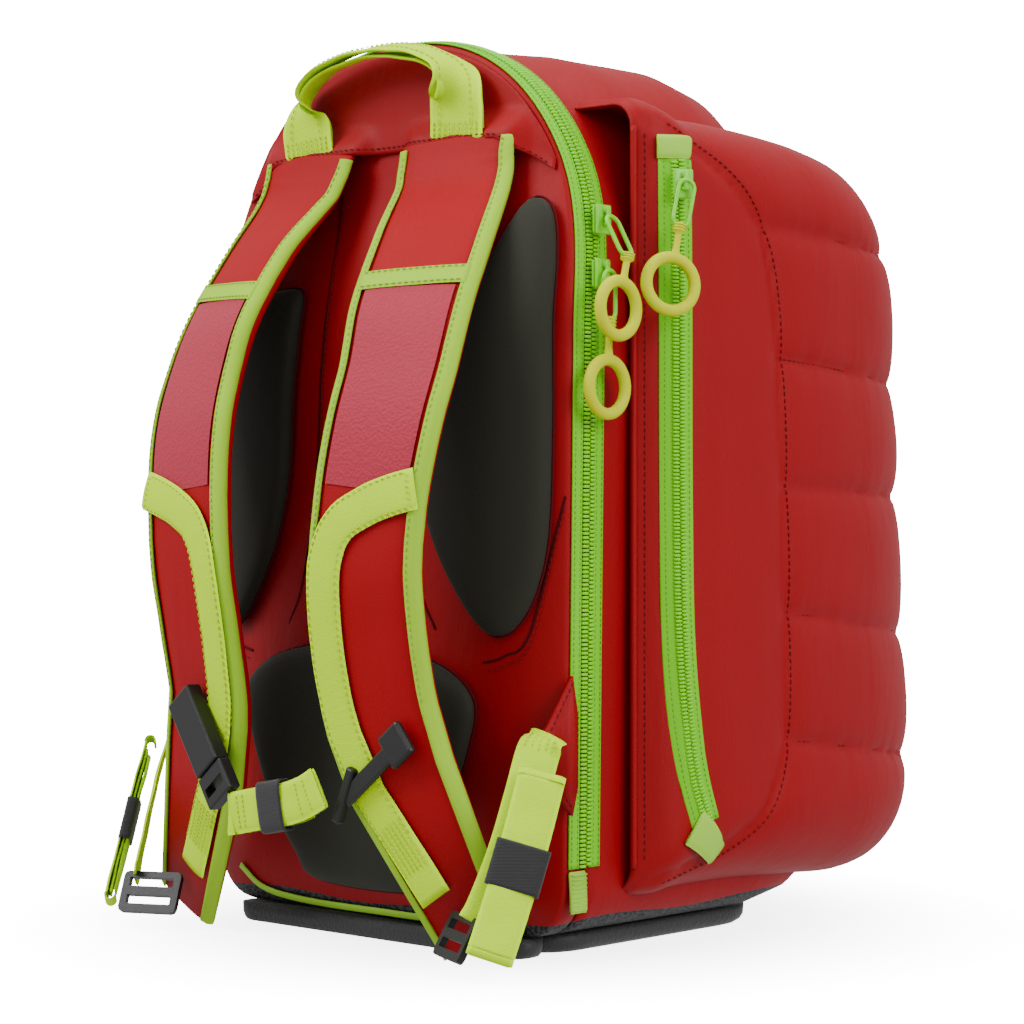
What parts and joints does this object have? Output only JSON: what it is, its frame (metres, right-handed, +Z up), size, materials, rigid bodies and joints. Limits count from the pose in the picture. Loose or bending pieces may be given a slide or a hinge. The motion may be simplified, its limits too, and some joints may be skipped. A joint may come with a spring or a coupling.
{
  "type": "trauma backpack",
  "caption": "Red padded emergency backpack with clamshell zip opening, wrap-round quilted pocket, contoured shoulder straps, chest strap, webbing carry handle and ring zip pulls.",
  "frame": {"origin": "middle of the bottom face, on the plane of the main zip", "axes": "X to the wearer's right as the pack is worn, -Y towards the wearer's back, +Y to the pack's front, +Z up"},
  "size_m": [0.3834, 0.4488, 0.5358],
  "materials": {
    "coated_fabric": "satin coated weave",
    "pad_fabric": "soft satin knit",
    "base_fabric": "coarse woven",
    "webbing": "woven polyester",
    "zip_tape": "woven tape and coil",
    "zip_hardware": "painted",
    "soft_ring": "matte silicone",
    "buckle_plastic": "moulded",
    "sheet_plastic": "flat sheet",
    "strap_fabric": "padded, bound edges",
    "elastic": "woven elastic",
    "trim": "coated trim"
  },
  "bodies": {
    "harness": {"back_shell": "coated_fabric", "frame_sheet": "sheet_plastic", "back_pad_left": "pad_fabric", "back_pad_right": "pad_fabric", "lumbar_pad": "pad_fabric", "base_back": "base_fabric", "shoulder_strap_left": "strap_fabric", "shoulder_strap_right": "strap_fabric", "sternum_rail_left": "webbing", "sternum_rail_right": "webbing", "strap_wing_left": "coated_fabric", "strap_wing_right": "coated_fabric", "adjuster_web_left": "webbing", "adjuster_web_right": "webbing", "adjuster_tail_left": "webbing", "adjuster_tail_right": "webbing", "adjuster_keeper_left": "elastic", "adjuster_keeper_right": "elastic", "main_zip_back": "zip_tape", "zip_end_tab_left": "trim", "zip_end_tab_right": "trim"},
    "front_case": {"front_shell": "coated_fabric", "front_cover": "coated_fabric", "side_panel_left": "coated_fabric", "side_panel_right": "coated_fabric", "main_zip_front": "zip_tape", "base_front": "base_fabric", "pocket_zip_left": "zip_tape", "pocket_zip_right": "zip_tape", "pocket_zip_tab_bottom_left": "trim", "pocket_zip_tab_bottom_right": "trim", "pocket_zip_tab_top_left": "trim", "pocket_zip_tab_top_right": "trim"},
    "zip_slider_upper": {"slider_main_upper": "zip_hardware"},
    "zip_loop_upper": {"pull_loop_main_upper": "zip_hardware"},
    "zip_ring_upper": {"ring_pull_main_upper": "soft_ring"},
    "zip_slider_lower": {"slider_main_lower": "zip_hardware", "pull_loop_main_lower": "zip_hardware"},
    "zip_ring_lower": {"ring_pull_main_lower": "soft_ring"},
    "pocket_slider_left": {"slider_pocket_left": "zip_hardware"},
    "pocket_loop_left": {"pull_loop_pocket_left": "zip_hardware"},
    "pocket_ring_left": {"ring_pull_pocket_left": "soft_ring"},
    "pocket_slider_right": {"slider_pocket_right": "zip_hardware"},
    "pocket_loop_right": {"pull_loop_pocket_right": "zip_hardware"},
    "pocket_ring_right": {"ring_pull_pocket_right": "soft_ring"},
    "handle": {"carry_handle": "webbing"},
    "ladder_left": {"ladder_lock_left": "buckle_plastic"},
    "ladder_right": {"ladder_lock_right": "buckle_plastic"},
    "chest_left": {"sternum_socket": "buckle_plastic"},
    "chest_plug": {"sternum_plug": "buckle_plastic"},
    "chest_right": {"sternum_slider_right": "buckle_plastic", "sternum_webbing": "webbing", "sternum_keeper": "elastic"}
  },
  "joints": [
    {"name": "main_opening", "type": "hinge", "parent": "harness", "child": "front_case", "pos_m": [0, 0, 0], "axis": [-1, 0, 0], "range_deg": [0, 100]},
    {"name": "zip_travel_upper", "type": "slide", "parent": "harness", "child": "zip_slider_upper", "axis": [-0.1999, 0.14, 0.9698], "range_m": [0, 0.006]},
    {"name": "loop_lift_upper", "type": "hinge", "parent": "zip_slider_upper", "child": "zip_loop_upper", "pos_m": [0.1597, 0.008, 0.419], "axis": [0, -1, 0], "range_deg": [0, 110]},
    {"name": "ring_swing_upper", "type": "hinge", "parent": "zip_loop_upper", "child": "zip_ring_upper", "pos_m": [0.17255, 0.008, 0.39674], "axis": [1, 0, 0], "range_deg": [-20, 0]},
    {"name": "zip_travel_lower", "type": "slide", "parent": "harness", "child": "zip_slider_lower", "axis": [0.03, -0.09, -0.9955], "range_m": [0, 0.035]},
    {"name": "ring_swing_lower", "type": "hinge", "parent": "zip_slider_lower", "child": "zip_ring_lower", "pos_m": [0.1632, 0.0033, 0.3613], "axis": [1, 0, 0], "range_deg": [-12, 12]},
    {"name": "pocket_zip_travel_right", "type": "slide", "parent": "front_case", "child": "pocket_slider_right", "axis": [0.0033, 0.0064, -1], "range_m": [0, 0.2]},
    {"name": "pocket_loop_lift_right", "type": "hinge", "parent": "pocket_slider_right", "child": "pocket_loop_right", "pos_m": [0.18259, 0.04851, 0.441], "axis": [-0.4067, -0.9136, 0], "range_deg": [0, 80]},
    {"name": "pocket_ring_swing_right", "type": "hinge", "parent": "pocket_loop_right", "child": "pocket_ring_right", "pos_m": [0.18244, 0.0415, 0.41524], "axis": [0.9136, -0.4067, 0], "range_deg": [0, 12]},
    {"name": "pocket_zip_travel_left", "type": "slide", "parent": "front_case", "child": "pocket_slider_left", "axis": [-0.0033, 0.0064, -1], "range_m": [0, 0.2]},
    {"name": "pocket_loop_lift_left", "type": "hinge", "parent": "pocket_slider_left", "child": "pocket_loop_left", "pos_m": [-0.18259, 0.04851, 0.441], "axis": [-0.4067, 0.9136, 0], "range_deg": [0, 80]},
    {"name": "pocket_ring_swing_left", "type": "hinge", "parent": "pocket_loop_left", "child": "pocket_ring_left", "pos_m": [-0.18244, 0.0415, 0.41524], "axis": [0.9136, 0.4067, 0], "range_deg": [0, 12]},
    {"name": "handle_fold", "type": "hinge", "parent": "harness", "child": "handle", "pos_m": [0, -0.0105, 0.4735], "axis": [1, 0, 0], "range_deg": [0, 70]},
    {"name": "ladder_tilt_right", "type": "hinge", "parent": "harness", "child": "ladder_right", "pos_m": [0.13228, -0.08011, 0.03165], "axis": [1, 0, 0], "range_deg": [0, 25], "deforming": ["adjuster_web_right", "adjuster_tail_right"]},
    {"name": "ladder_tilt_left", "type": "hinge", "parent": "harness", "child": "ladder_left", "pos_m": [-0.13228, -0.08011, 0.03165], "axis": [1, 0, 0], "range_deg": [0, 25], "deforming": ["adjuster_web_left", "adjuster_tail_left"]},
    {"name": "chest_height_left", "type": "slide", "parent": "harness", "child": "chest_left", "axis": [0.2606, -0.1603, 0.952], "range_m": [-0.012, 0.012], "deforming": ["sternum_webbing"]},
    {"name": "chest_height_right", "type": "slide", "parent": "harness", "child": "chest_right", "axis": [-0.2606, -0.1603, 0.952], "range_m": [-0.012, 0.012]},
    {"name": "buckle_release", "type": "slide", "parent": "chest_left", "child": "chest_plug", "axis": [0.6012, -0.0775, -0.7953], "range_m": [0, 0.022]}
  ],
  "couplings": [
    {"joint": "chest_height_right", "follows": "chest_height_left", "ratio": 1}
  ]
}
